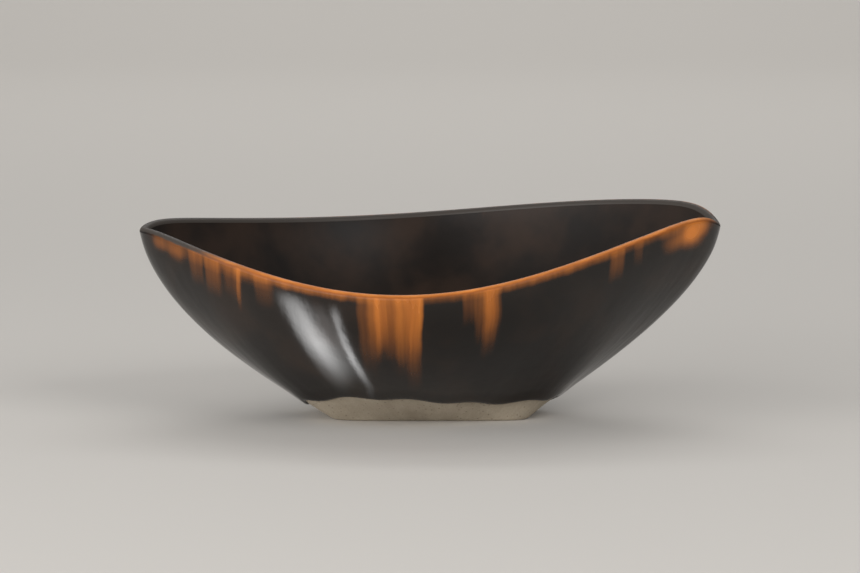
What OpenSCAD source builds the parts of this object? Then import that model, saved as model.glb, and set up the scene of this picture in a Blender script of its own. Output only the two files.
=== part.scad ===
// Leaf-shaped stoneware bowl with raised ends, a low front and a small bare foot.
// Sizes are in millimetres. The foot stands on z = 0 with its centre at the origin,
// +X runs along the length to the higher end, and -Y faces the low front.
// Plan angles run from 0 at the right end through 90 at the back to 270 at the front.

/* [Plan] */
// Length over both ends of the glazed lip
bowl_length = 240; // [200:1:280]
// Width across the middle of the glazed lip
bowl_width = 158; // [130:1:190]
// Roundness of the lip's ends in plan, where 1 is a plain ellipse
lip_roundness = 0.45; // [0.35:0.01:1]

/* [Lip heights] */
// Height that the glazed lip climbs towards at the right end
lip_right = 87; // [70:0.5:100]
// Height of the lip between the right end and the back
lip_back_right = 86; // [70:0.5:100]
// Height of the lip at the middle of the back
lip_back = 77; // [65:0.5:95]
// Height of the lip between the back and the left end
lip_back_left = 78; // [65:0.5:95]
// Height that the lip climbs towards at the left end
lip_left = 81; // [65:0.5:100]
// Height of the lip between the left end and the front
lip_front_left = 69.5; // [60:0.5:90]
// Height of the lip at the middle of the front
lip_front = 59.5; // [50:0.5:85]
// Height of the lip between the front and the right end
lip_front_right = 77.5; // [65:0.5:95]
// Drop of the lip at the very point of the right end
right_dip = 6.5; // [0:0.5:10]
// Drop of the lip at the very point of the left end
left_dip = 2.5; // [0:0.5:10]
// Narrowness of the two drops, where more keeps them closer to the points
dip_narrowness = 24; // [12:1:40]

/* [Foot] */
// Length of the foot
foot_length = 81; // [64:1:100]
// Width of the foot
foot_width = 38; // [32:1:56]
// Squareness of the foot in plan, where 2 is a plain ellipse and more is squarer
foot_squareness = 6; // [2:0.5:8]
// Width of the ring that the bowl stands on
foot_land = 6; // [3:0.5:9]
// Depth of the hollow inside that ring
foot_hollow = 1.5; // [0.5:0.1:3]
// Bevel along the foot's lower corner
foot_bevel = 0.4; // [0.2:0.1:1]

/* [Clay wall] */
// Thickness of the clay at the lip
wall = 3.2; // [2.4:0.1:5]
// Thickness of the clay floor over the foot's hollow
floor_thickness = 5.5; // [4:0.5:9]
// Spread of the outside low on the wall, where more makes a rounder belly
low_spread = 0.55; // [0.4:0.01:0.6]
// Spread of both faces high on the wall, where 1 is upright at the lip
high_spread = 0.93; // [0.9:0.01:1]
// Spread of the inside along the floor
floor_spread = 0.44; // [0.3:0.01:0.46]
// Height of the inside's turn from floor to wall, as a share of the inside's height
turn_height = 0.6; // [0.55:0.01:0.7]
// Sideways lean of the belly towards the left end
belly_lean = 1.8; // [0:0.1:4]

/* [Glaze] */
// Thickness of the coat on the outside
outer_coat = 0.6; // [0.3:0.05:1]
// Thickness of the coat on the inside
inner_coat = 0.5; // [0.3:0.05:1]
// Depth of the glaze pooled in the middle of the floor
pool_depth = 1.2; // [0.5:0.1:2.5]
// Thickness of the coat over the lip
rim_coat = 0.35; // [0.2:0.05:0.8]
// Height below the lip over which the coats thin out
thinning_height = 9; // [4:1:20]
// Height of the outside glaze line above the table at the ends
line_at_ends = 7; // [6:0.5:9]
// Height of the outside glaze line above the table at the front and back
line_at_sides = 11; // [7:0.5:14]
// Number of short waves in the glaze line around the foot
wave_count = 16; // [0:1:18]
// Rise and fall of the short waves
wave_height = 0.6; // [0:0.1:2]
// Plan angle of one short wave's crest
wave_angle = 242; // [0:1:359]
// Number of long waves in the glaze line around the foot
drift_count = 4; // [0:1:5]
// Rise and fall of the long waves
drift_height = 1.4; // [0:0.1:2]
// Plan angle of one long wave's crest
drift_angle = 247; // [0:1:359]
// Thickness of the coat at the cut edge of the glaze line
edge_coat = 0.45; // [0.2:0.05:1]
// Thickness of the roll gathered above that edge
roll_coat = 1; // [0.5:0.05:1.5]
// Height of the roll's crest above the edge
roll_height = 1.4; // [0.8:0.1:3]

/* [Facets] */
// Segments around the bowl
segments = 72; // [48:8:96]
// Rows of facets up the glazed outside
wall_rows = 13; // [8:1:18]
// Rows of facets over the lip
lip_rows = 6; // [4:1:8]
// Rows of facets down the inside
inside_rows = 12; // [8:1:16]

/* [Hidden] */

// The eight lip heights, in order of plan angle from the right end
lip_heights = [
    lip_right, lip_back_right, lip_back, lip_back_left,
    lip_left, lip_front_left, lip_front, lip_front_right
];
station_step = 360 / len(lip_heights);
bare_rows = 2;
lip_radius = wall / 2;
clay_length = bowl_length - 2 * rim_coat;
clay_width = bowl_width - 2 * rim_coat;
land_inset = foot_bevel + foot_land;
floor_height = foot_hollow + floor_thickness;
angles = [for (i = [0:segments - 1]) i * 360 / segments];
// Small steps along the angle and the rows for measuring surface normals
angle_step = 0.05;
row_step = 0.0005;
cut_margin = 1;
// Brings the largest value of share * (1 - share)^2 to 1
lean_norm = 27 / 4;

function mix(low, high, share) = low + (high - low) * share;
function unit(v) = v / norm(v);

// A leaf-shaped closed curve: an ellipse whose ends are drawn in to points
function leaf(length, width, roundness, t) = [
    length / 2 * cos(t),
    width / 2 * (roundness * sin(t) + (1 - roundness) * pow(sin(t), 3))
];

// A squared oval: an ellipse whose sides are pushed out towards its corners
function squared_oval(length, width, squareness, t) =
    [length / 2 * cos(t), width / 2 * sin(t)]
    / pow(pow(abs(cos(t)), squareness) + pow(abs(sin(t)), squareness), 1 / squareness);

// Outward normal of the clay lip's curve in plan
function lip_normal(t) =
    let (along = leaf(clay_length, clay_width, lip_roundness, t + angle_step)
        - leaf(clay_length, clay_width, lip_roundness, t - angle_step))
    unit([along[1], -along[0]]);

// Weight of one height station: 1 at its own angle and 0 at the other seven
function station_weight(t) = cos(t) * (cos(t) + 1) * (cos(t) * cos(t) - 0.5);

// Drop of the lip towards its two points
function point_dip(t) =
    right_dip * pow(max(0, cos(t)), dip_narrowness)
    + left_dip * pow(max(0, -cos(t)), dip_narrowness);

// Height of the glazed lip, a smooth wave through the eight stations that dips at the points
function lip_height(t) =
    [for (k = [0:len(lip_heights) - 1]) station_weight(t - k * station_step)] * lip_heights
    - point_dip(t);

// Height where the straight wall ends and the rounded lip begins
function spring_height(t) = lip_height(t) - rim_coat - lip_radius;

// Share of a curve's reach at a row, with handles at its low and high thirds
function curve(low, high, row) =
    3 * low * row * pow(1 - row, 2) + 3 * high * row * row * (1 - row) + pow(row, 3);

// Sideways shift of the wall at a share of its height
function lean(share) = [-belly_lean * lean_norm * share * pow(1 - share, 2), 0];

// Outside of the clay, from the foot at row 0 to the lip's spring at row 1
function wall_point(t, row) =
    let (foot = squared_oval(foot_length, foot_width, foot_squareness, t))
    let (lip = leaf(clay_length, clay_width, lip_roundness, t))
    let (plan = mix(foot, lip, curve(low_spread, high_spread, row)) + lean(row))
    [plan[0], plan[1], spring_height(t) * row];

function wall_normal(t, row) =
    unit(cross(
        wall_point(t + angle_step, row) - wall_point(t - angle_step, row),
        wall_point(t, row + row_step) - wall_point(t, row - row_step)
    ));

// Rounded lip of a given radius, from 0 at the outside over the top to 180 at the inside
function lip_point(t, turn, radius) =
    let (middle = leaf(clay_length, clay_width, lip_roundness, t) - lip_radius * lip_normal(t))
    let (plan = middle + radius * cos(turn) * lip_normal(t))
    [plan[0], plan[1], spring_height(t) + radius * sin(turn)];

// Inside of the clay, from the middle of the floor at row 0 to the lip's spring at row 1.
// Its plan is an ellipse on the floor and grows into the lip's leaf.
function inside_point(t, row) =
    let (lip = leaf(clay_length, clay_width, lip_roundness, t) - wall * lip_normal(t))
    let (oval = leaf(clay_length - 2 * wall, clay_width - 2 * wall, 1, t))
    let (rise = curve(0, turn_height, row))
    let (reach = curve(floor_spread, high_spread, row))
    let (plan = reach * mix(oval, lip, row * (2 - row)) + lean(rise))
    [plan[0], plan[1], mix(floor_height, spring_height(t), rise)];

function inside_normal(t, row) =
    unit(cross(
        inside_point(t, row + row_step) - inside_point(t, row - row_step),
        inside_point(t + angle_step, row) - inside_point(t - angle_step, row)
    ));

// Height of the wavy lower edge of the outside glaze
function line_height(t) =
    mix(line_at_ends, line_at_sides, sin(t) * sin(t))
    + wave_height * cos(wave_count * (t - wave_angle))
    + drift_height * cos(drift_count * (t - drift_angle));

// Rows of the glazed outside: the edge, the roll's crest, then even steps up to the lip
function glazed_row(t, j) =
    let (edge = line_height(t) / spring_height(t))
    let (crest = edge + roll_height / spring_height(t))
    j == 0 ? edge : mix(crest, 1, (j - 1) / (wall_rows - 1));

// A coat's thickness at a row: full on the wall, thin towards the lip
function thinned(t, row, full) =
    mix(rim_coat, full, min(1, (1 - row) * spring_height(t) / thinning_height));

function outer_thickness(t, j) =
    j == 0 ? edge_coat : j == 1 ? roll_coat : thinned(t, glazed_row(t, j), outer_coat);

function inner_thickness(t, row) =
    thinned(t, row, mix(inner_coat, pool_depth, pow(1 - row, 3)));

// Rings of points that the clay and its coats share, so that they meet face to face
function clay_wall_ring(j) = [for (t = angles) wall_point(t, glazed_row(t, j))];
function clay_lip_ring(j) = [for (t = angles) lip_point(t, 180 * j / lip_rows, lip_radius)];
function clay_inside_ring(j) = [for (t = angles) inside_point(t, 1 - j / inside_rows)];

function bare_ring(j) = [
    for (t = angles)
        wall_point(t, mix(foot_bevel / spring_height(t), glazed_row(t, 0), j / bare_rows))
];

function foot_ring(inset) = [
    for (t = angles)
        squared_oval(foot_length - 2 * inset, foot_width - 2 * inset, foot_squareness, t)
];

// Rings of points on the face of each coat, which run into the coat over the lip
function rim_coat_ring(j) = [for (t = angles) lip_point(t, 180 * j / lip_rows, lip_radius + rim_coat)];

function outer_coat_ring(j) = j == wall_rows ? rim_coat_ring(0) : [
    for (t = angles)
        let (row = glazed_row(t, j))
        wall_point(t, row) + outer_thickness(t, j) * wall_normal(t, row)
];

function inner_coat_ring(j) = j == 0 ? rim_coat_ring(lip_rows) : [
    for (t = angles)
        let (row = 1 - j / inside_rows)
        inside_point(t, row) + inner_thickness(t, row) * inside_normal(t, row)
];

// Two triangles for each cell of the band between ring a and ring b
function band(a, b) = [
    for (i = [0:segments - 1], half = [0, 1])
        let (next = (i + 1) % segments)
        let (low = a * segments)
        let (high = b * segments)
        half == 0 ? [low + i, high + next, low + next] : [low + i, high + i, high + next]
];

// A fan of triangles from the point at index tip to one ring
function fan(ring, tip, upward) = [
    for (i = [0:segments - 1])
        let (here = ring * segments + i)
        let (next = ring * segments + (i + 1) % segments)
        upward ? [here, tip, next] : [here, next, tip]
];

function joined(lists) = [for (one = lists) each one];

// The same faces seen from their other side
function turned_over(faces) = [for (f = faces) [f[2], f[1], f[0]]];

// Faces of a closed form between two tips, through rings that run from the first to the last
function tipped_faces(count) =
    concat(
        fan(0, count * segments, false),
        joined([for (r = [0:count - 2]) band(r, r + 1)]),
        fan(count - 1, count * segments + 1, true)
    );

// A coat that closes on itself: its rings run along the clay, then back along the open face
module ring_coat(rings) {
    count = len(rings);
    faces = joined([for (r = [0:count - 1]) band(r, (r + 1) % count)]);
    polyhedron(joined(rings), turned_over(faces), convexity = 6);
}

module foot_hollow_cut() {
    translate([0, 0, -cut_margin])
        linear_extrude(cut_margin + foot_hollow)
            polygon(foot_ring(land_inset));
}

module clay_body() {
    base_ring = [for (p = foot_ring(foot_bevel)) [p[0], p[1], 0]];
    bare_rings = [for (j = [0:bare_rows - 1]) bare_ring(j)];
    wall_rings = [for (j = [0:wall_rows]) clay_wall_ring(j)];
    lip_rings = [for (j = [1:lip_rows - 1]) clay_lip_ring(j)];
    inside_rings = [for (j = [0:inside_rows - 1]) clay_inside_ring(j)];
    rings = concat([base_ring], bare_rings, wall_rings, lip_rings, inside_rings);
    points = concat(joined(rings), [[0, 0, 0], [0, 0, floor_height]]);
    color("#a39480")
        difference() {
            polyhedron(points, tipped_faces(len(rings)), convexity = 6);
            foot_hollow_cut();
        }
}

module outer_glaze() {
    clay_rings = [for (j = [0:wall_rows]) clay_wall_ring(j)];
    face_rings = [for (j = [wall_rows:-1:0]) outer_coat_ring(j)];
    color("#1d1613")
        ring_coat(concat(clay_rings, face_rings));
}

module rim_glaze() {
    clay_rings = [for (j = [0:lip_rows]) clay_lip_ring(j)];
    face_rings = [for (j = [lip_rows:-1:0]) rim_coat_ring(j)];
    color("#7b3c17")
        ring_coat(concat(clay_rings, face_rings));
}

module inner_glaze() {
    face_rings = [for (j = [inside_rows - 1:-1:0]) inner_coat_ring(j)];
    clay_rings = [for (j = [0:inside_rows - 1]) clay_inside_ring(j)];
    rings = concat(face_rings, clay_rings);
    tips = [[0, 0, floor_height + pool_depth], [0, 0, floor_height]];
    color("#2a1e17")
        polyhedron(concat(joined(rings), tips), turned_over(tipped_faces(len(rings))), convexity = 6);
}

clay_body();
outer_glaze();
rim_glaze();
inner_glaze();
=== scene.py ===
# %% [markdown]
# # A leaf-shaped stoneware bowl under a dark, glossy glaze
# The CAD model fixes the bowl's sizes. This lesson makes its four pieces again as smooth
# surfaces, the clay body and its three coats of glaze, and gives each one its finish. The
# frame is loaded first, and its box is kept.

# %% Load the frame
import math
from types import SimpleNamespace

import bpy
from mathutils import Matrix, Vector


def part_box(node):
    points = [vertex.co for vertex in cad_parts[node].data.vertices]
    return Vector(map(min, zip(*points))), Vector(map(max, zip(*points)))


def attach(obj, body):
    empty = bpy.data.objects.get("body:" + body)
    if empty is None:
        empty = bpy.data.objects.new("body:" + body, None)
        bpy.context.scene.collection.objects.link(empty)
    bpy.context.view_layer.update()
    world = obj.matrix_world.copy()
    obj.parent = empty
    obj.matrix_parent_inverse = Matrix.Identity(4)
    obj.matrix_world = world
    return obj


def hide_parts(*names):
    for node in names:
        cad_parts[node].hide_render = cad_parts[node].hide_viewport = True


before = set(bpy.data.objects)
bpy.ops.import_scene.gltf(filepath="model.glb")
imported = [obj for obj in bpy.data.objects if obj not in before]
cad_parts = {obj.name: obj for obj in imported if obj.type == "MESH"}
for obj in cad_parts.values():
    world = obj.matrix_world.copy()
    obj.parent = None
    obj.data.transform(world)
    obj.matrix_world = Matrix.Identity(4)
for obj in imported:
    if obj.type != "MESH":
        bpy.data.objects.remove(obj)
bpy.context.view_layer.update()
print("CAD nodes:", sorted(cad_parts))

# %% [markdown]
# The whole bowl follows a few formulas: a leaf-shaped lip, a squarish foot and smooth curves
# between them. In Geometry Nodes a formula is a chain of Math nodes, and wiring each one by
# hand would hide the sum that it stands for. This small class lets a socket take part in
# plain Python arithmetic, and each sign adds one Math node. The same functions then work on
# ordinary numbers too, which is how the bowl is measured further down.

# %% Let sockets do arithmetic
class Formula:
    """A number in a node tree. Arithmetic on it adds Math nodes to the tree."""

    def __init__(self, socket):
        self.socket = socket
        self.tree = socket.id_data

    def step(self, kind, *others):
        return reckon(self.tree, kind, self, *others)

    def __add__(self, other):
        return self.step("ADD", other)

    def __radd__(self, other):
        return self.step("ADD", other)

    def __sub__(self, other):
        return self.step("SUBTRACT", other)

    def __rsub__(self, other):
        return reckon(self.tree, "SUBTRACT", other, self)

    def __mul__(self, other):
        return self.step("MULTIPLY", other)

    def __rmul__(self, other):
        return self.step("MULTIPLY", other)

    def __truediv__(self, other):
        return self.step("DIVIDE", other)

    def __rtruediv__(self, other):
        return reckon(self.tree, "DIVIDE", other, self)

    def __pow__(self, other):
        return self.step("POWER", other)

    def __abs__(self):
        return self.step("ABSOLUTE")


def reckon(tree, kind, *terms):
    node = tree.nodes.new("ShaderNodeMath")
    node.operation = kind
    for socket, term in zip(node.inputs, terms):
        feed(tree, socket, term)
    return Formula(node.outputs[0])


def feed(tree, socket, term):
    if isinstance(term, Formula):
        tree.links.new(term.socket, socket)
    else:
        socket.default_value = term


print("a Formula takes part in + - * / ** and abs")

# %% [markdown]
# Some sums come back all the time. Bounding keeps a share between 0 and 1, easing turns a
# straight climb into one that starts and ends gently, and a ramp eases a value over a given
# length. Mixing goes from one value to another by a share. Each of them takes a socket or a
# plain number.

# %% Name the sums that the bowl needs
def sine(turn):
    return turn.step("SINE") if isinstance(turn, Formula) else math.sin(turn)


def cosine(turn):
    return turn.step("COSINE") if isinstance(turn, Formula) else math.cos(turn)


def root(square):
    return square.step("SQRT") if isinstance(square, Formula) else math.sqrt(square)


def larger(first, second):
    return first.step("MAXIMUM", second) if isinstance(first, Formula) else max(first, second)


def smaller(first, second):
    return first.step("MINIMUM", second) if isinstance(first, Formula) else min(first, second)


def bounded(share):
    return smaller(larger(share, 0.0), 1.0)


def eased(share):
    held = bounded(share)
    return held * held * (3 - 2 * held)


def ramp(value, start, length):
    return eased((value - start) / length)


def mix(low, high, share):
    return low + (high - low) * share


def chosen(first, second, flag):
    return tuple(mix(a, b, flag) for a, b in zip(first, second))


print("shares from 0 to 1, eased:", [round(eased(k / 4), 2) for k in range(5)])

# %% [markdown]
# The lip's plan is an ellipse whose ends are drawn in to points, and its height is a smooth
# wave through eight stations, because a hand-made lip is never level: both ends rise, and
# the front sinks. Right at its two points the lip dips a little, as a pulled lip does. The
# length and width come from the frame. So do the eight heights, which are read off the CAD
# lip where each station stands, with the dip of a point added back to it.

# %% Measure the bowl in the frame
MM = 0.001
STATIONS = ["lip_right", "lip_back_right", "lip_back", "lip_back_left",
            "lip_left", "lip_front_left", "lip_front", "lip_front_right"]
LIP_ROUNDNESS = 0.45
RIGHT_DIP, LEFT_DIP = 6.5 * MM, 2.5 * MM
WALL = 3.2 * MM
RIM_COAT = 0.35 * MM


def leaf(length, width, roundness, t):
    side = sine(t)
    reach = roundness * side + (1 - roundness) * side * side * side
    return length / 2 * cosine(t), width / 2 * reach


def lip_top_at(t):
    inset = WALL + 2 * RIM_COAT
    x, y = leaf(bowl_length - inset, bowl_width - inset, LIP_ROUNDNESS, t)
    near = [v.co.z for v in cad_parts["rim_glaze"].data.vertices
            if math.hypot(v.co.x - x, v.co.y - y) < WALL / 3]
    return max(near)


rim_low, rim_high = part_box("rim_glaze")
bowl_length = rim_high.x - rim_low.x
bowl_width = rim_high.y - rim_low.y
lip_tops = {name: lip_top_at(math.radians(45 * k)) for k, name in enumerate(STATIONS)}
lip_tops["lip_right"] += RIGHT_DIP
lip_tops["lip_left"] += LEFT_DIP
print("length and width in mm:", round(bowl_length / MM, 1), round(bowl_width / MM, 1))
print("lip heights in mm:", {name: round(z / MM, 1) for name, z in lip_tops.items()})

# %% [markdown]
# The other sizes are the CAD model's own. They are gathered under names, because each node
# tree gets a named input for every one of them, and these inputs show which sizes shape the
# piece. The wave and the drift bend the glaze line.

# %% List the bowl's sizes
SIZES = {
    "bowl_length": bowl_length, "bowl_width": bowl_width,
    "lip_roundness": LIP_ROUNDNESS, **lip_tops,
    "right_dip": RIGHT_DIP, "left_dip": LEFT_DIP, "dip_narrowness": 24,
    "foot_length": 81 * MM, "foot_width": 38 * MM, "foot_squareness": 6,
    "foot_land": 6 * MM, "foot_hollow": 1.5 * MM, "foot_bevel": 0.4 * MM,
    "wall": WALL, "floor_thickness": 5.5 * MM,
    "low_spread": 0.55, "high_spread": 0.93, "floor_spread": 0.44, "turn_height": 0.6,
    "belly_lean": 1.8 * MM,
    "outer_coat": 0.6 * MM, "inner_coat": 0.5 * MM, "pool_depth": 1.2 * MM,
    "rim_coat": RIM_COAT, "thinning_height": 9 * MM,
    "line_at_ends": 7 * MM, "line_at_sides": 11 * MM,
    "wave_height": 0.6 * MM, "drift_height": 1.4 * MM,
    "roll_coat": 1.0 * MM, "roll_height": 1.4 * MM,
}
WAVE_COUNT, WAVE_ANGLE = 16, math.radians(242)
DRIFT_COUNT, DRIFT_ANGLE = 4, math.radians(247)
plain_sizes = SimpleNamespace(**SIZES)
print("named sizes:", len(SIZES))

# %% [markdown]
# The next functions are the bowl itself. The sizes reach them as one bundle s, which holds
# sockets inside a node tree, or plain numbers when something is measured. The lip comes
# first, since all else hangs from it. Its height is a sum of eight smooth humps, one for each
# station, which leaves every station at its own height. A half round then caps the wall.

# %% Shape the lip
def point_dip(s, t):
    along = cosine(t)
    right, left = larger(along, 0.0), larger(along * -1, 0.0)
    return s.right_dip * right ** s.dip_narrowness + s.left_dip * left ** s.dip_narrowness


def lip_height(s, t):
    total = point_dip(s, t) * -1
    for k, name in enumerate(STATIONS):
        c = cosine(t - k * math.pi / 4)
        total = getattr(s, name) * (c * (c + 1) * (c * c - 0.5)) + total
    return total


def spring_height(s, t):
    return lip_height(s, t) - s.rim_coat - s.wall / 2


def clay_lip(s, t):
    return leaf(s.bowl_length - 2 * s.rim_coat, s.bowl_width - 2 * s.rim_coat, s.lip_roundness, t)


def lip_outward(s, t):
    side = sine(t)
    across = (s.bowl_length / 2 - s.rim_coat) * side
    swell = s.lip_roundness + 3 * (1 - s.lip_roundness) * side * side
    along = (s.bowl_width / 2 - s.rim_coat) * cosine(t) * swell
    reach = root(across * across + along * along)
    return along / reach, across / reach


def lip_point(s, t, turn, radius):
    (x, y), (out_x, out_y) = clay_lip(s, t), lip_outward(s, t)
    out = radius * cosine(turn) - s.wall / 2
    return x + out * out_x, y + out * out_y, spring_height(s, t) + radius * sine(turn)


RIGHT_POINT, FRONT = 0.0, math.radians(270)
print("lip in mm, at the front and at the right point:",
      [round(lip_height(plain_sizes, t) / MM, 1) for t in (FRONT, RIGHT_POINT)])

# %% [markdown]
# The wall rises from the squared oval of the foot and spreads out into the leaf of the lip,
# fast at first and then more and more upright. The inside does the same from a single point
# on the floor. Below the foot a flat ring stands on the table, with a shallow hollow inside
# it. The glaze line is where the poured coat stopped: higher at the sides than at the ends,
# with slow drifts and quick waves.

# %% Shape the wall, the inside and the underside
# The lean is largest a third of the way up, where this factor makes it the full belly lean
LEAN_SCALE = 27 / 4
HOLLOW_END, BANK_END = 0.4, 0.5


def squared_oval(length, width, squareness, t):
    along, aside = cosine(t), sine(t)
    reach = (abs(along) ** squareness + abs(aside) ** squareness) ** (1 / squareness)
    return length / 2 * along / reach, width / 2 * aside / reach


def spread(low, high, row):
    rest = 1 - row
    return 3 * low * row * rest * rest + 3 * high * row * row * rest + row * row * row


def lean(s, share):
    return s.belly_lean * -LEAN_SCALE * share * (1 - share) * (1 - share)


def wall_point(s, t, row):
    foot = squared_oval(s.foot_length, s.foot_width, s.foot_squareness, t)
    reach = spread(s.low_spread, s.high_spread, row)
    x, y = chosen(foot, clay_lip(s, t), reach)
    return x + lean(s, row), y, spring_height(s, t) * row


def inside_point(s, t, row):
    (x, y), (out_x, out_y) = clay_lip(s, t), lip_outward(s, t)
    lip = (x - s.wall * out_x, y - s.wall * out_y)
    inset = s.rim_coat + s.wall
    oval = leaf(s.bowl_length - 2 * inset, s.bowl_width - 2 * inset, 1, t)
    rise = spread(0, s.turn_height, row)
    reach = spread(s.floor_spread, s.high_spread, row)
    x, y = chosen(oval, lip, row * (2 - row))
    floor = s.foot_hollow + s.floor_thickness
    return reach * x + lean(s, rise), reach * y, mix(floor, spring_height(s, t), rise)


def under_point(s, t, share):
    middle = bounded(share / HOLLOW_END)
    bank = bounded((share - HOLLOW_END) / (BANK_END - HOLLOW_END))
    land = bounded((share - BANK_END) / (1 - BANK_END))
    inset = s.foot_bevel + s.foot_land * (1 - land)
    x, y = squared_oval(s.foot_length - 2 * inset, s.foot_width - 2 * inset, s.foot_squareness, t)
    return x * middle, y * middle, s.foot_hollow * (1 - bank)


def line_height(s, t):
    side = sine(t)
    level = mix(s.line_at_ends, s.line_at_sides, side * side)
    waves = s.wave_height * cosine(WAVE_COUNT * t - WAVE_COUNT * WAVE_ANGLE)
    return level + waves + s.drift_height * cosine(DRIFT_COUNT * t - DRIFT_COUNT * DRIFT_ANGLE)


foot_end = wall_point(plain_sizes, RIGHT_POINT, 0)[0]
floor_height = inside_point(plain_sizes, FRONT, 0)[2]
print("foot's end, floor and front glaze line in mm:",
      [round(size / MM, 1) for size in (foot_end, floor_height, line_height(plain_sizes, FRONT))])

# %% [markdown]
# Each piece starts as a flat grid, whose columns go once around the bowl and whose rows go
# up or down it. Set Position moves every point to its formula, Merge by Distance closes the
# seam and the poles, and the bowl stands. A lathe or a Screw modifier would be quicker, but
# they only make round things, and this plan is a leaf whose lip rises and falls.

# %% Start a node tree for one piece
def piece_tree(name):
    tree = bpy.data.node_groups.new(name, "GeometryNodeTree")
    tree.interface.new_socket("Bowl", in_out="OUTPUT", socket_type="NodeSocketGeometry")
    for size in SIZES:
        tree.interface.new_socket(size.replace("_", " "), in_out="INPUT", socket_type="NodeSocketFloat")
    given = tree.nodes.new("NodeGroupInput")
    sizes = {size: Formula(given.outputs[size.replace("_", " ")]) for size in SIZES}
    return tree, SimpleNamespace(**sizes)


def add(tree, kind, settings=None, **inputs):
    node = tree.nodes.new(kind)
    for key, value in (settings or {}).items():
        setattr(node, key, value)
    for key, value in inputs.items():
        socket = node.inputs[key.replace("_", " ")]
        if isinstance(value, bpy.types.NodeSocket):
            tree.links.new(value, socket)
        else:
            feed(tree, socket, value)
    return node


def vector(tree, x, y, z=0.0):
    return add(tree, "ShaderNodeCombineXYZ", X=x, Y=y, Z=z).outputs[0]


print("a tree is fed through", len(SIZES), "named inputs")

# %% [markdown]
# The grid's own UV map says where a point lies on it, and the formulas start from that: a turn
# around the bowl, and a row. What a later step needs, such as the thickness of a coat, is
# stored on the mesh as a named attribute before the seam is merged. After that the first and
# the last column share their points, and a turn reckoned there would be a mix of both. The
# glaze map is kept on the corners of the faces, where the seam can hold two values.

# %% Lay out the grid and keep values on it
AROUND = 420
GLAZE_MAP, MAP_STRETCH = "glaze_map", 10
MERGE_DISTANCE = 0.001 * MM


def ring_grid(tree, columns, rows):
    grid = add(tree, "GeometryNodeMeshGrid", Size_X=1.0, Size_Y=1.0,
               Vertices_X=columns + 1, Vertices_Y=rows + 1)
    split = add(tree, "ShaderNodeSeparateXYZ", Vector=grid.outputs["UV Map"])
    turn, row = Formula(split.outputs["X"]), Formula(split.outputs["Y"])
    return grid.outputs["Mesh"], turn * (2 * math.pi), row * rows


def keep(tree, mesh, name, value, kind="FLOAT", domain="POINT"):
    socket = value.socket if isinstance(value, Formula) else value
    node = add(tree, "GeometryNodeStoreNamedAttribute", {"data_type": kind, "domain": domain},
               Geometry=mesh, Name=name, Value=socket)
    return node.outputs[0]


def kept(tree, name, kind="FLOAT"):
    node = add(tree, "GeometryNodeInputNamedAttribute", {"data_type": kind}, Name=name)
    return node.outputs["Attribute"]


def glaze_map(tree, mesh, t, drop):
    spot = vector(tree, t / (2 * math.pi), drop * MAP_STRETCH)
    return keep(tree, mesh, GLAZE_MAP, spot, "FLOAT2", "CORNER")


def placed(tree, mesh, point):
    return add(tree, "GeometryNodeSetPosition", Geometry=mesh, Position=vector(tree, *point)).outputs[0]


def merged(tree, mesh):
    return add(tree, "GeometryNodeMergeByDistance", Geometry=mesh, Distance=MERGE_DISTANCE).outputs[0]


print("a coat has", AROUND, "columns of", round(360 / AROUND, 2), "degrees each")

# %% [markdown]
# Every tree ends alike. The surface is shaded smooth, except along corners such as the foot's,
# where a smooth shade would smear light around the edge. Realize Instances and Set Material
# come last, the sizes go into the modifier by their socket's identifier, and the evaluated
# result is copied into a plain mesh, so the piece needs no modifier any more.

# %% Finish a tree and turn it into a plain mesh
CORNER_ANGLE = math.radians(40)


def smooth_shaded(tree, mesh):
    soft = add(tree, "GeometryNodeSetShadeSmooth", {"domain": "FACE"}, Geometry=mesh, Shade_Smooth=True)
    angle = Formula(add(tree, "GeometryNodeInputMeshEdgeAngle").outputs["Unsigned Angle"])
    corner = angle.step("GREATER_THAN", CORNER_ANGLE)
    crisp = add(tree, "GeometryNodeSetShadeSmooth", {"domain": "EDGE"},
                Geometry=soft.outputs[0], Selection=corner, Shade_Smooth=False)
    return crisp.outputs[0]


def made_piece(name, tree, mesh, finish):
    real = add(tree, "GeometryNodeRealizeInstances", Geometry=smooth_shaded(tree, mesh))
    painted = add(tree, "GeometryNodeSetMaterial", Geometry=real.outputs[0], Material=finish)
    add(tree, "NodeGroupOutput", Bowl=painted.outputs[0])
    host = bpy.data.objects.new(name + "_host", bpy.data.meshes.new(name + "_host"))
    bpy.context.scene.collection.objects.link(host)
    modifier = host.modifiers.new(name, "NODES")
    modifier.node_group = tree
    for item in tree.interface.items_tree:
        if item.in_out == "INPUT":
            modifier[item.identifier] = SIZES[item.name.replace(" ", "_")]
    shaped = host.evaluated_get(bpy.context.evaluated_depsgraph_get())
    piece = bpy.data.objects.new(name, bpy.data.meshes.new_from_object(shaped))
    bpy.context.scene.collection.objects.link(piece)
    bpy.data.objects.remove(host)
    print(name, "has", len(piece.data.vertices), "points and", len(piece.data.polygons), "faces")
    return piece


print("corners over", round(math.degrees(CORNER_ANGLE)), "degrees stay crisp")

# %% [markdown]
# A coat of glaze is a thin skin grown out of the clay. The tree lays the clay's own surface,
# keeps the thickness of the coat on every point, and extrudes that surface along its normals.
# A flipped copy of the surface closes the coat from behind. Near the lip the coat grows
# straight out from the lip's curve, so that neighbouring coats meet edge to edge.

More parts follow.
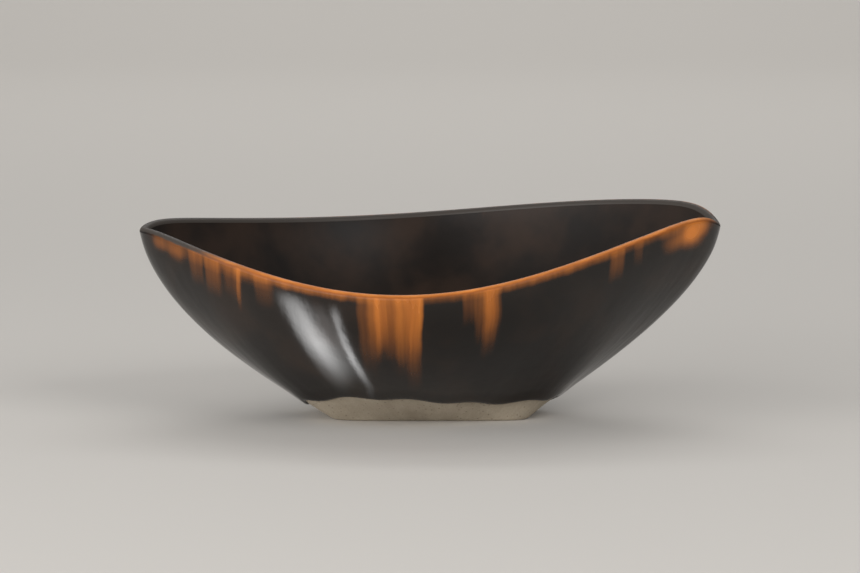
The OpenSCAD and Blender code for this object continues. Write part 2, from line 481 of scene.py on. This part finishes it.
# %% Grow a coat on the clay
def grown_coat(tree, mesh):
    clay = merged(tree, mesh)
    outward = add(tree, "ShaderNodeMix", {"data_type": "VECTOR"})
    tree.links.new(kept(tree, "near_lip"), outward.inputs[0])
    tree.links.new(add(tree, "GeometryNodeInputNormal").outputs["Normal"], outward.inputs[4])
    tree.links.new(kept(tree, "lip_outward", "FLOAT_VECTOR"), outward.inputs[5])
    clay = keep(tree, clay, "outward", outward.outputs[1], "FLOAT_VECTOR")
    skin = add(tree, "GeometryNodeExtrudeMesh", {"mode": "FACES"},
               Mesh=clay, Offset_Scale=0.0, Individual=False)
    growth = add(tree, "ShaderNodeVectorMath", {"operation": "SCALE"},
                 Vector=kept(tree, "outward", "FLOAT_VECTOR"), Scale=Formula(kept(tree, "coat")))
    face = add(tree, "GeometryNodeSetPosition", Geometry=skin.outputs["Mesh"],
               Selection=skin.outputs["Top"], Offset=growth.outputs[0])
    back = add(tree, "GeometryNodeFlipFaces", Mesh=clay)
    both = tree.nodes.new("GeometryNodeJoinGeometry")
    tree.links.new(face.outputs[0], both.inputs[0])
    tree.links.new(back.outputs[0], both.inputs[0])
    return merged(tree, both.outputs[0])


def thinned(s, full, below_lip):
    return mix(s.rim_coat, full, bounded(below_lip / s.thinning_height))


def wavering(tree, t, drop, around, down, seed):
    spot = vector(tree, cosine(t) * around, sine(t) * around, drop * down + seed)
    return Formula(add(tree, "ShaderNodeTexNoise", Vector=spot, Scale=1.0, Detail=2.0).outputs[0]) - 0.5


print("coats in mm, from the lip to the rolled edge:",
      [round(SIZES[size] / MM, 2) for size in ("rim_coat", "inner_coat", "outer_coat", "roll_coat")])

# %% [markdown]
# A finish is a Principled shader whose colour, roughness and bump come from textures that are
# reckoned, not painted. The textures read the glaze map, a UV map that holds the turn around
# the bowl and the drop below the lip, so streaks run down the wall as molten glaze does.
# Noise in the turn alone would break at the seam, so the turn is wrapped round an oval first.

# %% Start a finish
def finish_nodes(name):
    material = bpy.data.materials.new(name)
    material.use_nodes = True
    return material, material.node_tree, material.node_tree.nodes["Principled BSDF"]


def on_the_map(tree):
    mapped = add(tree, "ShaderNodeUVMap", {"uv_map": GLAZE_MAP})
    split = add(tree, "ShaderNodeSeparateXYZ", Vector=mapped.outputs[0])
    return Formula(split.outputs["X"]) * (2 * math.pi), Formula(split.outputs["Y"]) / MAP_STRETCH


def streaks(tree, t, drop, stretch, scale, detail=3.0):
    spot = vector(tree, cosine(t) * (bowl_length / 2), sine(t) * (bowl_width / 2), drop / stretch)
    return Formula(add(tree, "ShaderNodeTexNoise", Vector=spot, Scale=scale, Detail=detail).outputs[0])


def grain(tree, scale, detail=2.0):
    place = add(tree, "ShaderNodeTexCoord").outputs["Object"]
    return Formula(add(tree, "ShaderNodeTexNoise", Vector=place, Scale=scale, Detail=detail).outputs[0])


def blended(tree, share, first, second):
    node = add(tree, "ShaderNodeMix", {"data_type": "RGBA"})
    feed(tree, node.inputs[0], share)
    for socket, colour in ((node.inputs[6], first), (node.inputs[7], second)):
        if isinstance(colour, bpy.types.NodeSocket):
            tree.links.new(colour, socket)
        else:
            socket.default_value = (*colour, 1)
    return node.outputs[2]


def sway(noise, width):
    return (noise - 0.5) * width


def dressed(tree, shader, colour, roughness, ior, sheen=0.5):
    tree.links.new(colour, shader.inputs["Base Color"])
    feed(tree, shader.inputs["Roughness"], roughness)
    shader.inputs["IOR"].default_value = ior
    shader.inputs["Specular IOR Level"].default_value = sheen


def raised(tree, shader, height, depth):
    bump = add(tree, "ShaderNodeBump", Height=height, Distance=depth, Strength=1.0)
    tree.links.new(bump.outputs[0], shader.inputs["Normal"])


print("finishes read the UV map", GLAZE_MAP)

# %% [markdown]
# The outside glaze is rich in iron: black-brown where it is thick, and rust where it thinned
# and ran down from the lip. The runs could be painted by hand or left to a noise texture. A
# short list of runs is used instead, because the real ones stand at certain places and
# differ in width, length and brightness. A run keeps most of its strength in its upper half,
# fades out below that, and ends quickly at its sides. Each run takes away a share of the
# dark, so where two of them cross the rust grows brighter.

# %% List the runs of rust
# Each run: its place along the bowl, half its width and its length in mm, and its brightness
FRONT_RUNS = [
    (-95.4, 3.2, 17, 0.38), (-88.2, 4, 19, 0.44), (-80.2, 4.4, 16, 0.3), (-77.6, 1, 20, 0.36),
    (-67, 4.5, 15, 0.24), (-88, 30, 7, 0.35), (-48, 22, 4, 0.3),
    (-25.3, 4.2, 37, 0.34), (-14.2, 11.8, 30, 0.72), (-20, 2.8, 26, 0.6),
    (-10.5, 7.5, 37, 0.26), (-6.2, 3.8, 45, 0.5), (-6.4, 3.6, 25, 0.6),
    (15.8, 3.2, 16, 0.4), (23.2, 5.8, 25, 0.55), (24.2, 3.4, 32, 0.5), (24.1, 2.2, 20, 0.6),
    (48, 32, 4, 0.35), (75.5, 3.4, 15, 0.5), (84.5, 2.4, 12, 0.3), (104, 11, 8, 0.32),
]
BACK_RUNS = [
    (-104, 8, 9, 0.6), (-84, 4, 19, 0.5), (-60, 8, 27, 0.65), (-62, 2.8, 22, 0.6), (-38, 4, 15, 0.5),
    (-15, 10, 30, 0.65), (-4, 4.5, 42, 0.55), (-17, 2.6, 24, 0.6), (22, 6, 23, 0.5), (48, 6, 31, 0.6),
    (47, 2.4, 20, 0.6), (70, 5, 14, 0.45), (90, 4, 18, 0.5), (105, 8, 12, 0.75),
]


def run_strength(runs, place, drop):
    dark = 1.0
    for middle, half, length, brightness in runs:
        across = (place - middle * MM) / (half * MM)
        square, down = across * across, drop / (length * MM)
        run = larger(1 - square * square, 0.0) * larger(1 - down * down, 0.0) * brightness
        dark = dark * (1 - run)
    return 1 - dark


print("runs of rust:", len(FRONT_RUNS), "on the front and", len(BACK_RUNS), "on the back")

# %% [markdown]
# Near the two points the rust also gathered in rounded patches. The one at the right end is
# made the brightest spot of the bowl, partly rust and partly painted light for the light that
# falls on that end. These blooms have a list of their own. A bloom is a soft oval, and its
# strength is squared, which keeps its middle bright and lets its edge melt into the dark. A
# plain oval would look like a sticker.

# %% List the blooms
# Each bloom: its place along the bowl, its drop below the lip, half its width and half its
# height in mm, and its brightness
BLOOMS = [
    (107.5, 5.5, 8.5, 9, 1.0), (100, 7.5, 7, 6, 0.45), (112, 3.5, 5, 5, 0.5),
    (-111, 4, 4.5, 5, 0.4), (-104, 4.8, 6, 6, 0.42),
]


def bloom_strength(place, drop):
    dark = 1.0
    for middle, below, half, tall, brightness in BLOOMS:
        across, down = (place - middle * MM) / (half * MM), (drop - below * MM) / (tall * MM)
        dark = dark * (1 - larger(1 - across * across - down * down, 0.0) ** 2 * brightness)
    return 1 - dark


print("blooms at the right end:", sum(bloom[0] > 0 for bloom in BLOOMS), "of", len(BLOOMS))

# %% [markdown]
# The lists become strength inside the finish, point by point, so the runs stay sharper than
# the mesh is fine. Threads of noise make each part of a run longer or shorter, and clouds
# bend its sides a little, so that no outline looks drawn. A run keeps more to the upright
# than to the lines of the wall, which draw together towards the foot, so its place is a blend
# of the two. Right below the lip the glaze is thin all along and breaks in a narrow rust
# edge, which fades at the two points.

# %% Thread the runs
RUN_LEAN, SIDE_WAVER = 0.3, 3 * MM
FINE_THREADS, BROAD_THREADS, THREAD_STRETCH = 420, 150, 16
RUN_STRETCH, BROAD_PULL, FINE_PULL = 1.3, 0.45, 0.15
FRONT_BLEND = 0.3
EDGE_STRENGTH, EDGE_DEPTH = 0.75, 6 * MM
POINT_REACH, POINT_SHIFT, POINT_BLEND, POINT_WAVER = 0.36, 0.26, 0.3, 0.2


def threads(tree, place, to_front, drop, scale):
    spot = vector(tree, place, to_front, drop / THREAD_STRETCH)
    return Formula(add(tree, "ShaderNodeTexNoise", Vector=spot, Scale=scale, Detail=2.0).outputs[0])


def off_points(t, noise):
    from_points = abs(sine(t)) - POINT_REACH + cosine(t) * POINT_SHIFT
    return eased((from_points + sway(noise, POINT_WAVER)) / POINT_BLEND)


def rust_runs(tree, t, drop, cloud):
    spot = add(tree, "ShaderNodeSeparateXYZ", Vector=add(tree, "ShaderNodeTexCoord").outputs["Object"])
    wall_line = cosine(t) * (bowl_length / 2)
    place = mix(Formula(spot.outputs["X"]), wall_line, RUN_LEAN) + sway(cloud, SIDE_WAVER)
    to_front = eased(0.5 - sine(t) / FRONT_BLEND)
    fine = threads(tree, place, to_front, drop, FINE_THREADS)
    broad = threads(tree, place, to_front, drop, BROAD_THREADS)
    reach = drop * (RUN_STRETCH - broad * BROAD_PULL - fine * FINE_PULL)
    run = mix(run_strength(BACK_RUNS, place, reach), run_strength(FRONT_RUNS, place, reach), to_front)
    bloom = bloom_strength(place, drop)
    thin_edge = larger(EDGE_STRENGTH - reach / EDGE_DEPTH, 0.0) * off_points(t, cloud)
    return 1 - (1 - run) * (1 - bloom) * (1 - thin_edge), bloom, fine, broad


print("a fine thread is about", round(1 / FINE_THREADS / MM, 1), "mm wide")

# %% [markdown]
# Now strength becomes colour. The dark glaze is nearly black, with clouds of warm brown in
# it. A run mixes a deep and a bright rust, thread by thread, and a bloom turns to the hottest
# rust, which at the right end is also painted light. Rust is duller than the dark glaze,
# because crystals of iron have grown in it, so the roughness rises with it. A slight bump
# makes the gloss ripple, as poured glaze does.

# %% Mix the dark glaze
BLACK_BROWN = (0.0055, 0.0033, 0.0022)
WARM_BROWN = (0.022, 0.011, 0.006)
DEEP_RUST = (0.30, 0.080, 0.010)
BRIGHT_RUST = (0.56, 0.175, 0.024)
# The hottest rust is also painted light: it lifts the bloom at the right end to stand in for the light
# that falls there.
HOT_RUST_AND_PAINTED_LIGHT = (0.66, 0.200, 0.024)
GLAZE_IOR, GLAZE_ROUGHNESS = 1.45, 0.09
RUST_DULLNESS, CLOUD_DULLNESS = 0.18, 0.05
THREAD_BASE, FINE_SHARE, BROAD_SHARE, BLOOM_FULL = 0.62, 0.3, 0.5, 1.05
RUST_CONTRAST, CLOUD_STRENGTH = 1.5, 0.45
LEAST_GLOW, GLOW_RANGE = 0.35, 0.5
RIPPLE_DEPTH, THREAD_RELIEF = 0.05 * MM, 0.35


def running_glaze(tree, t, drop):
    cloud = grain(tree, scale=55, detail=3.0)
    run, bloom, fine, broad = rust_runs(tree, t, drop, cloud)
    threaded = mix(THREAD_BASE + fine * FINE_SHARE + broad * BROAD_SHARE, BLOOM_FULL, bloom)
    rust = bounded(run * threaded) ** RUST_CONTRAST
    warmth = ramp(cloud, start=0.42, length=0.3) * CLOUD_STRENGTH
    brown = blended(tree, warmth, BLACK_BROWN, WARM_BROWN)
    glow = ramp(fine * 0.6 + broad, start=0.5, length=0.6) * GLOW_RANGE + LEAST_GLOW
    ember = blended(tree, glow, DEEP_RUST, BRIGHT_RUST)
    # Strong blooms turn to the hottest rust; at the right end this is painted light as well as rust.
    ember = blended(tree, ramp(bloom, start=0.3125, length=0.625), ember, HOT_RUST_AND_PAINTED_LIGHT)
    roughness = GLAZE_ROUGHNESS + rust * RUST_DULLNESS + cloud * CLOUD_DULLNESS
    return blended(tree, rust, brown, ember), roughness, fine


dark_glaze, tree, shader = finish_nodes("dark_glaze")
colour, roughness, fine = running_glaze(tree, *on_the_map(tree))
dressed(tree, shader, colour, roughness, GLAZE_IOR)
raised(tree, shader, grain(tree, scale=230) + fine * THREAD_RELIEF, RIPPLE_DEPTH)
print("dark glaze nodes:", len(tree.nodes))

# %% [markdown]
# On the lip the glaze is so thin that the iron in it shows as a rust line, brightest on the
# crest of the outer edge and deeper below. The lowest part takes the wall's own running
# glaze, so that no seam shows between the two coats. On the inner edge and round the two
# points the lip is painted a dull grey-brown, a painted highlight for the light that the top
# of the lip catches there. The glaze map's second number is the turn over the lip here, from
# the outside to the inside, so each of these bands is a ramp over that turn, with noise added
# to fray its edge.

# %% Mix the rust glaze of the lip
# Painted highlight: the grey-brown that stands for the light caught by the lip's top and inner edge.
LIP_HIGHLIGHT_GREY = (0.050, 0.041, 0.034)
LIP_EMBER, LIP_GLOW = (0.45, 0.140, 0.022), (0.66, 0.225, 0.042)
LIP_ROUGHNESS, LIP_UNEVEN = 0.42, 0.1
LIP_SHEEN, LIP_BUMP = 0.3, 0.06 * MM
LIP_MAP_SHARE = 100
rust_glaze, tree, shader = finish_nodes("rust_glaze")
t, over = on_the_map(tree)
turn = over * LIP_MAP_SHARE
below_top = (1 - sine(turn)) * (WALL / 2 + RIM_COAT)
under_edge = running_glaze(tree, t, below_top)[0]
fine = streaks(tree, t, over, stretch=2, scale=420)
broad = streaks(tree, t, over, stretch=2, scale=60)
line = ramp(turn + sway(fine, 0.4) + sway(broad, 0.6), start=0.2, length=0.35)
crest = ramp(turn + sway(fine, 0.4), start=0.4, length=0.5)
inner = ramp(turn + sway(fine, 0.8) + sway(broad, 0.6), start=1.2, length=0.7)
ember = blended(tree, ramp(broad, start=0.35, length=0.35), LIP_EMBER, LIP_GLOW)
ember = blended(tree, crest, DEEP_RUST, ember)
# The inner edge and the two points take the painted highlight grey; the rest of the lip stays rust.
rust_and_highlight = blended(tree, off_points(t, broad) * (1 - inner), LIP_HIGHLIGHT_GREY, ember)
colour = blended(tree, line, under_edge, rust_and_highlight)
dressed(tree, shader, colour, LIP_ROUGHNESS + fine * LIP_UNEVEN, GLAZE_IOR, LIP_SHEEN)
raised(tree, shader, grain(tree, scale=420), LIP_BUMP)
print("rust glaze nodes:", len(tree.nodes))

# %% [markdown]
# The inside has the same glaze, a little browner and duller, with fine hairs of rust that
# slid down from the lip and fade out on the way to the floor. It could share the outside's
# finish, but the pour inside left no broad runs, so streaks of noise are enough here.

# %% Mix the liner glaze
LINER_DARK, LINER_BROWN = (0.0070, 0.0042, 0.0026), (0.024, 0.0125, 0.007)
LINER_HAIR, HAIR_START, HAIR_FADE = (0.070, 0.028, 0.011), 4 * MM, 22
LINER_ROUGHNESS, LINER_UNEVEN = 0.38, 0.14
LINER_IOR, LINER_SHEEN, LINER_BUMP = 1.4, 0.26, 0.06 * MM
liner_glaze, tree, shader = finish_nodes("liner_glaze")
t, drop = on_the_map(tree)
fine = streaks(tree, t, drop, stretch=16, scale=560)
broad = streaks(tree, t, drop, stretch=9, scale=120)
cloud = grain(tree, scale=40, detail=3.0)
streaked = fine * 0.6 + broad * 0.5 + (HAIR_START - drop) * HAIR_FADE
hairs = ramp(streaked, start=0.66, length=0.4)
brown = blended(tree, ramp(cloud, start=0.35, length=0.35), LINER_DARK, LINER_BROWN)
colour = blended(tree, hairs, brown, LINER_HAIR)
dressed(tree, shader, colour, LINER_ROUGHNESS + cloud * LINER_UNEVEN, LINER_IOR, LINER_SHEEN)
raised(tree, shader, grain(tree, scale=200), LINER_BUMP)
print("liner glaze nodes:", len(tree.nodes))

# %% [markdown]
# The foot is bare stoneware: a dry, warm grey clay with sand in it, small iron specks and the
# faint upright marks of the tool that trimmed it. Nothing on it shines. Fine noise makes the
# sand, stretched noise the tool marks, and a Voronoi texture the specks, because its cells
# scatter dots evenly without a pattern.

# %% Mix the bare clay
CLAY_SHADE, CLAY_LIGHT = (0.27, 0.225, 0.165), (0.46, 0.395, 0.305)
IRON_SPECK, SPECK_STRENGTH = (0.10, 0.07, 0.05), 0.6
SPECK_SIZE, SPECK_EDGE = 0.10, 0.10
CLAY_ROUGHNESS, CLAY_IOR, SAND_RELIEF = 0.9, 1.45, 0.22 * MM
bare_clay, tree, shader = finish_nodes("bare_clay")
t, drop = on_the_map(tree)
sand, cloud = grain(tree, scale=1500, detail=3.0), grain(tree, scale=90, detail=3.0)
marks = streaks(tree, t, drop, stretch=12, scale=330)
place = add(tree, "ShaderNodeTexCoord").outputs["Object"]
speck = add(tree, "ShaderNodeTexVoronoi", Vector=place, Scale=420.0)
dot = 1 - ramp(Formula(speck.outputs["Distance"]), SPECK_SIZE, SPECK_EDGE)
tone = eased(cloud * 0.85 + marks * 0.25 + sand * 0.4 - 0.3)
clay = blended(tree, tone, CLAY_SHADE, CLAY_LIGHT)
colour = blended(tree, dot * SPECK_STRENGTH, clay, IRON_SPECK)
dressed(tree, shader, colour, CLAY_ROUGHNESS, CLAY_IOR)
raised(tree, shader, sand * 0.6 + marks * 0.4, SAND_RELIEF)
print("bare clay nodes:", len(tree.nodes))

# %% [markdown]
# The outside coat runs from the wavy glaze line up to the lip. At the line the glaze stopped
# while it was still thick, so it rolls over in a round nose, and near the lip it thins out.
# The rows are closer together at the line, where that nose needs them. Two wavers, a slow and
# a quick one, make the thickness uneven, so that the gloss doesn't look turned on a machine.

# %% Make the outside coat
OUTSIDE_ROWS, ROW_CROWDING = 104, 1.35
CROWN_HEIGHTS = 4
SLOW_WAVER, QUICK_WAVER = 0.5, 0.22
LIP_REACH = 2


def outside_coat(tree, s):
    mesh, t, row = ring_grid(tree, AROUND, OUTSIDE_ROWS)
    spring = spring_height(s, t)
    line = line_height(s, t) / spring
    level = mix(line, 1, (row / OUTSIDE_ROWS) ** ROW_CROWDING)
    above_line, below_lip = (level - line) * spring, (1 - level) * spring
    point = wall_point(s, t, level)
    drop = lip_height(s, t) - point[2]
    away = 1 - bounded(above_line / s.roll_height)
    nose = root(1 - away * away)
    crown = 1 - bounded(above_line / (s.roll_height * CROWN_HEIGHTS))
    body = thinned(s, s.outer_coat, below_lip)
    slow = wavering(tree, t, drop, around=5, down=40, seed=3.1)
    quick = wavering(tree, t, drop, around=16, down=25, seed=8.7)
    uneven = slow * SLOW_WAVER + quick * QUICK_WAVER
    body = body * (1 + uneven * bounded(below_lip / s.thinning_height))
    coat = nose * mix(body, s.roll_coat, eased(crown))
    mesh = placed(tree, mesh, point)
    mesh = glaze_map(tree, mesh, t, drop)
    mesh = keep(tree, mesh, "coat", coat)
    mesh = keep(tree, mesh, "near_lip", 1 - bounded(below_lip / (LIP_REACH * s.wall)))
    mesh = keep(tree, mesh, "lip_outward", vector(tree, *lip_outward(s, t)), "FLOAT_VECTOR")
    return grown_coat(tree, mesh)


tree, s = piece_tree("outer_coat")
outer_coat = made_piece("outer_coat", tree, outside_coat(tree, s), dark_glaze)

# %% [markdown]
# Over the lip the glaze is thinnest, because it ran off the edge while it was molten. This
# coat is a half round that follows the lip, with the clay's half round inside it. A bevelled
# curve would also follow the lip, but it couldn't share its edges with the coats beside it.

# %% Make the coat over the lip
OVER_ROWS = 18


def lip_coat_shape(tree, s):
    mesh, t, row = ring_grid(tree, AROUND, OVER_ROWS)
    turn = row * (math.pi / OVER_ROWS)
    point = lip_point(s, t, turn, s.wall / 2)
    out_x, out_y = lip_outward(s, t)
    direction = vector(tree, out_x * cosine(turn), out_y * cosine(turn), sine(turn))
    mesh = placed(tree, mesh, point)
    mesh = glaze_map(tree, mesh, t, turn / LIP_MAP_SHARE)
    mesh = keep(tree, mesh, "coat", s.rim_coat)
    mesh = keep(tree, mesh, "near_lip", 1.0)
    mesh = keep(tree, mesh, "lip_outward", direction, "FLOAT_VECTOR")
    return grown_coat(tree, mesh)


tree, s = piece_tree("lip_coat")
lip_coat = made_piece("lip_coat", tree, lip_coat_shape(tree, s), rust_glaze)

# %% [markdown]
# Inside, the glaze slid down the wall and gathered on the floor, so this coat is thin at the
# lip and deepest in the middle. Its rows end in one point there, which the merge closes. The
# wavers fade out over the lowest quarter of the rows, so that the pool lies smooth.

# %% Make the inside coat
INSIDE_ROWS = 84
INSIDE_WAVER, POOL_CALM = 0.4, 4


def inside_coat_shape(tree, s):
    mesh, t, row = ring_grid(tree, AROUND, INSIDE_ROWS)
    level = 1 - row / INSIDE_ROWS
    point = inside_point(s, t, level)
    below_lip = spring_height(s, t) - point[2]
    drop = lip_height(s, t) - point[2]
    pool = (1 - level) * (1 - level) * (1 - level)
    body = thinned(s, mix(s.inner_coat, s.pool_depth, pool), below_lip)
    slow = wavering(tree, t, drop, around=5, down=40, seed=5.3)
    uneven = slow * INSIDE_WAVER * bounded(below_lip / s.thinning_height)
    out_x, out_y = lip_outward(s, t)
    mesh = placed(tree, mesh, point)
    mesh = glaze_map(tree, mesh, t, drop)
    mesh = keep(tree, mesh, "coat", body * (1 + uneven * bounded(level * POOL_CALM)))
    mesh = keep(tree, mesh, "near_lip", 1 - bounded(below_lip / (LIP_REACH * s.wall)))
    mesh = keep(tree, mesh, "lip_outward", vector(tree, out_x * -1, out_y * -1), "FLOAT_VECTOR")
    return grown_coat(tree, mesh)


tree, s = piece_tree("inside_coat")
inside_coat = made_piece("inside_coat", tree, inside_coat_shape(tree, s), liner_glaze)

# %% [markdown]
# The clay body is the bowl without its glaze. Most of it is covered, and what shows is the
# bare foot: a low wall, the flat ring that stands on the table and the shallow hollow inside
# it. One grid makes it all, from the middle of the hollow, out over the foot, up the wall,
# over the lip and down the inside to the middle of the floor.

# %% Make the clay body
CLAY_AROUND = 360
UNDER, BARE, RISE, OVER, DOWN = 26, 18, 60, 12, 60


def clay_shape(tree, s):
    mesh, t, row = ring_grid(tree, CLAY_AROUND, UNDER + BARE + RISE + OVER + DOWN)
    spring = spring_height(s, t)
    line, bevel = line_height(s, t) / spring, s.foot_bevel / spring
    bare = bounded((row - UNDER) / BARE)
    climb = bounded((row - UNDER - BARE) / RISE)
    over = bounded((row - UNDER - BARE - RISE) / OVER)
    down = bounded((row - UNDER - BARE - RISE - OVER) / DOWN)
    level = mix(bevel, line, bare) + (1 - line) * climb
    point = chosen(wall_point(s, t, level), lip_point(s, t, over * math.pi, s.wall / 2),
                   over.step("GREATER_THAN", 0.0))
    point = chosen(point, inside_point(s, t, 1 - down), down.step("GREATER_THAN", 0.0))
    under = under_point(s, t, bounded(row / (UNDER - 1)))
    point = chosen(under, point, row.step("GREATER_THAN", UNDER - 0.5))
    mesh = placed(tree, mesh, point)
    mesh = glaze_map(tree, mesh, t, lip_height(s, t) - point[2])
    return merged(tree, mesh)


tree, s = piece_tree("clay_bowl")
clay_bowl = made_piece("clay_bowl", tree, clay_shape(tree, s), bare_clay)

# %% [markdown]
# Every piece rides on the bowl's one body, stands for its CAD node and names the finish that
# it takes. A fired bowl has no moving part, so one body carries all four.

# %% Join the pieces to the frame
PIECES = [
    (clay_bowl, "clay_body", "bare_clay"),
    (outer_coat, "outer_glaze", "dark_glaze"),
    (lip_coat, "rim_glaze", "rust_glaze"),
    (inside_coat, "inner_glaze", "liner_glaze"),
]
for piece, node, finish in PIECES:
    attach(piece, "root")
    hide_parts(node)
    print(piece.name, "stands for", node, "and takes", finish)

# %% [markdown]
# The stage is a pale floor that sweeps up into a backdrop, so that no horizon line cuts the
# picture. A flat plane and a wall would meet in a line, so the sheet is bent in a quarter
# circle, as a paper roll hangs in a photographer's studio.

# %% Lay the floor and the backdrop
FLOOR_REACH, BACKDROP_HEIGHT = 4.0, 3.0
SWEEP_START, SWEEP_RADIUS, SWEEP_STEPS = 2.2, 1.5, 24
FLOOR_COLOUR, FLOOR_ROUGHNESS = (0.58, 0.55, 0.51, 1), 0.75


def sweep_profile():
    points = [(-FLOOR_REACH, 0.0), (SWEEP_START, 0.0)]
    for k in range(1, SWEEP_STEPS + 1):
        a = math.radians(90 * k / SWEEP_STEPS)
        points.append((SWEEP_START + SWEEP_RADIUS * math.sin(a), SWEEP_RADIUS * (1 - math.cos(a))))
    points.append((SWEEP_START + SWEEP_RADIUS, BACKDROP_HEIGHT))
    return points


profile = sweep_profile()
corners = [(x, y, z) for y, z in profile for x in (-FLOOR_REACH, FLOOR_REACH)]
faces = [(2 * k, 2 * k + 1, 2 * k + 3, 2 * k + 2) for k in range(len(profile) - 1)]
sweep_mesh = bpy.data.meshes.new("floor_sweep")
sweep_mesh.from_pydata(corners, [], faces)
sweep_mesh.polygons.foreach_set("use_smooth", [True] * len(faces))
floor_sweep = bpy.data.objects.new("floor_sweep", sweep_mesh)
bpy.context.scene.collection.objects.link(floor_sweep)
pale_floor, tree, shader = finish_nodes("pale_floor")
shader.inputs["Base Color"].default_value = FLOOR_COLOUR
shader.inputs["Roughness"].default_value = FLOOR_ROUGHNESS
sweep_mesh.materials.append(pale_floor)
print("floor and backdrop:", len(faces), "strips")

# %% [markdown]
# The camera stands a little above the lip and far away behind a long lens, as a photographer
# of pottery would place it, so the foot stays in view and the near wall isn't swollen.

# %% Set the camera
CAMERA_RISE = math.radians(7)
CAMERA_DISTANCE, LENS = 1.7808, 180
MIDDLE = Vector((0.0, 0.0, 0.045))
AIM_ABOVE = 0.00837
up = Vector((0, math.sin(CAMERA_RISE), math.cos(CAMERA_RISE)))
camera_data = bpy.data.cameras.new("camera")
camera_data.lens = LENS
camera = bpy.data.objects.new("camera", camera_data)
camera.location = MIDDLE + CAMERA_DISTANCE * Vector((0, -math.cos(CAMERA_RISE), math.sin(CAMERA_RISE)))
camera.rotation_mode = "QUATERNION"
camera.rotation_quaternion = (MIDDLE + AIM_ABOVE * up - camera.location).to_track_quat("-Z", "Y")
bpy.context.scene.collection.objects.link(camera)
bpy.context.scene.camera = camera
print("camera height in m:", round(camera.location.z, 3))

# %% [markdown]
# A dark gloss shows its surroundings more than its own colour. The outside wall leans out
# over the table and mirrors it, so a lamp high up would only brighten the table and veil the
# glaze. The main lamp is therefore low, soft and to the left of the camera, where it lights
# the rust and is mirrored nowhere on the wall. Weaker lamps stand at both sides and above.

# %% Set the lamps
def soft_lamp(name, place, width, height, watts, aim=MIDDLE):
    lamp = bpy.data.lights.new(name, "AREA")
    lamp.shape, lamp.size, lamp.size_y, lamp.energy = "RECTANGLE", width, height, watts
    holder = bpy.data.objects.new(name, lamp)
    holder.location = place
    holder.rotation_mode = "QUATERNION"
    holder.rotation_quaternion = (aim - holder.location).to_track_quat("-Z", "Y")
    bpy.context.scene.collection.objects.link(holder)
    print(name, "gives", watts, "watts")


def around_bowl(azimuth, elevation, distance):
    a, e = math.radians(azimuth), math.radians(elevation)
    return MIDDLE + distance * Vector((math.sin(a) * math.cos(e), -math.cos(a) * math.cos(e), math.sin(e)))


BACKDROP_FOOT = Vector((0.0, 2.6, 0.0))
soft_lamp("low_key", around_bowl(-38, 12, 1.6), width=2.0, height=0.6, watts=18)
soft_lamp("window_left", around_bowl(-65, 28, 1.25), width=0.9, height=1.1, watts=4)
soft_lamp("right_fill", around_bowl(42, 30, 1.6), width=0.9, height=0.9, watts=10)
soft_lamp("overhead", Vector((0.2, 1.0, 1.8)), width=1.6, height=1.4, watts=7)
soft_lamp("far_wash", Vector((0.0, 2.0, 1.9)), width=2.4, height=1.2, watts=22, aim=BACKDROP_FOOT)

# %% [markdown]
# One streak of light slants down the left of the wall, where the gloss mirrors the lit floor
# beside the bowl. A real patch of light would burn out the pale floor, so three faint
# lamps lie just above it, out of the camera's sight: a broad, a narrow and a dim one. Each
# fades to nothing at its edges, because a hard edge would look like a window. They are tilted
# to the front and their beam is narrowed, so that the other sides mirror them less.

# %% Lay the glows that the wall mirrors
GLOW_TILT, GLOW_BEAM = math.radians(25), math.radians(130)
NEAR_FADE, FAR_FADE = 4, 2.6


def floor_glow(name, place, length, width, near_width, heading, watts):
    lamp = bpy.data.lights.new(name, "AREA")
    lamp.shape, lamp.size, lamp.size_y, lamp.energy = "RECTANGLE", length, width, watts
    lamp.spread = GLOW_BEAM
    lamp.use_nodes = True
    tree = lamp.node_tree
    on_lamp = add(tree, "ShaderNodeNewGeometry").outputs["Parametric"]
    spot = add(tree, "ShaderNodeSeparateXYZ", Vector=on_lamp)
    along, across = Formula(spot.outputs["X"]), Formula(spot.outputs["Y"])
    side = (across * 2 - 1) / mix(near_width / width, 1, along)
    ends = eased(along * NEAR_FADE) * eased(FAR_FADE - along * FAR_FADE)
    fade = ends * eased(1 - abs(side)) * (along + 0.5)
    feed(tree, tree.nodes["Emission"].inputs["Strength"], fade)
    holder = bpy.data.objects.new(name, lamp)
    holder.location = place
    holder.rotation_euler = (math.pi - GLOW_TILT, 0, math.radians(heading))
    holder.visible_camera = False
    bpy.context.scene.collection.objects.link(holder)
    print(name, "is", round(length / MM), "by", round(width / MM), "mm")


floor_glow("broad_glow", (-0.0968, -0.0670, 0.0102), length=0.144, width=0.046, near_width=0.014,
           heading=204.75, watts=0.145)
floor_glow("narrow_glow", (-0.0646, -0.0744, 0.0030), length=0.118, width=0.013, near_width=0.004,
           heading=225.8, watts=0.021)
floor_glow("dim_glow", (-0.0745, -0.0718, 0.0065), length=0.120, width=0.030, near_width=0.010,
           heading=214, watts=0.012)

# %% [markdown]
# The room itself adds a weak, slightly cool light from all around, so that no shadow is quite
# black. The Standard view shows the colours as they were mixed, where a film-like one would
# grey the rust.

# %% Add the light of the room
ROOM_TINT, ROOM_STRENGTH = (0.95, 0.97, 1.0, 1), 0.3
world = bpy.data.worlds.new("studio")
bpy.context.scene.world = world
world.use_nodes = True
world.node_tree.nodes["Background"].inputs["Color"].default_value = ROOM_TINT
world.node_tree.nodes["Background"].inputs["Strength"].default_value = ROOM_STRENGTH
bpy.context.scene.view_settings.view_transform = "Standard"
